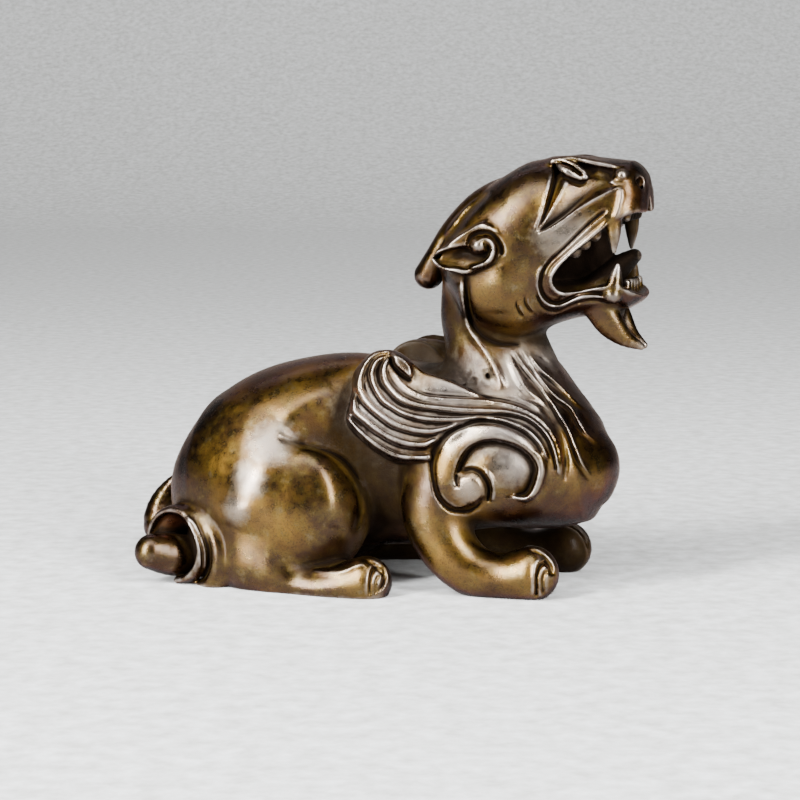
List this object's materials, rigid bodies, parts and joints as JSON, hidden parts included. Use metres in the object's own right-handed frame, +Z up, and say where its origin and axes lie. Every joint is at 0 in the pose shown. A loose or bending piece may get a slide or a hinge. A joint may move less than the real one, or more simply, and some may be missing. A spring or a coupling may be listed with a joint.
{
  "type": "bronze qilin figure",
  "caption": "Small solid cast bronze figure of a crouching winged beast with open jaws, stands on a desk or shelf by its own weight.",
  "frame": {"origin": "under the middle of the figure's bounding box, on the surface it stands on", "axes": "+X from the tail to the nose, +Y to the beast's left, +Z up"},
  "size_m": [0.0733, 0.0372, 0.0589],
  "materials": {
    "bronze": "cast bronze, hand polished on the high places, brown patina in the hollows"
  },
  "bodies": {
    "root": {"qilin": "bronze"}
  },
  "joints": []
}
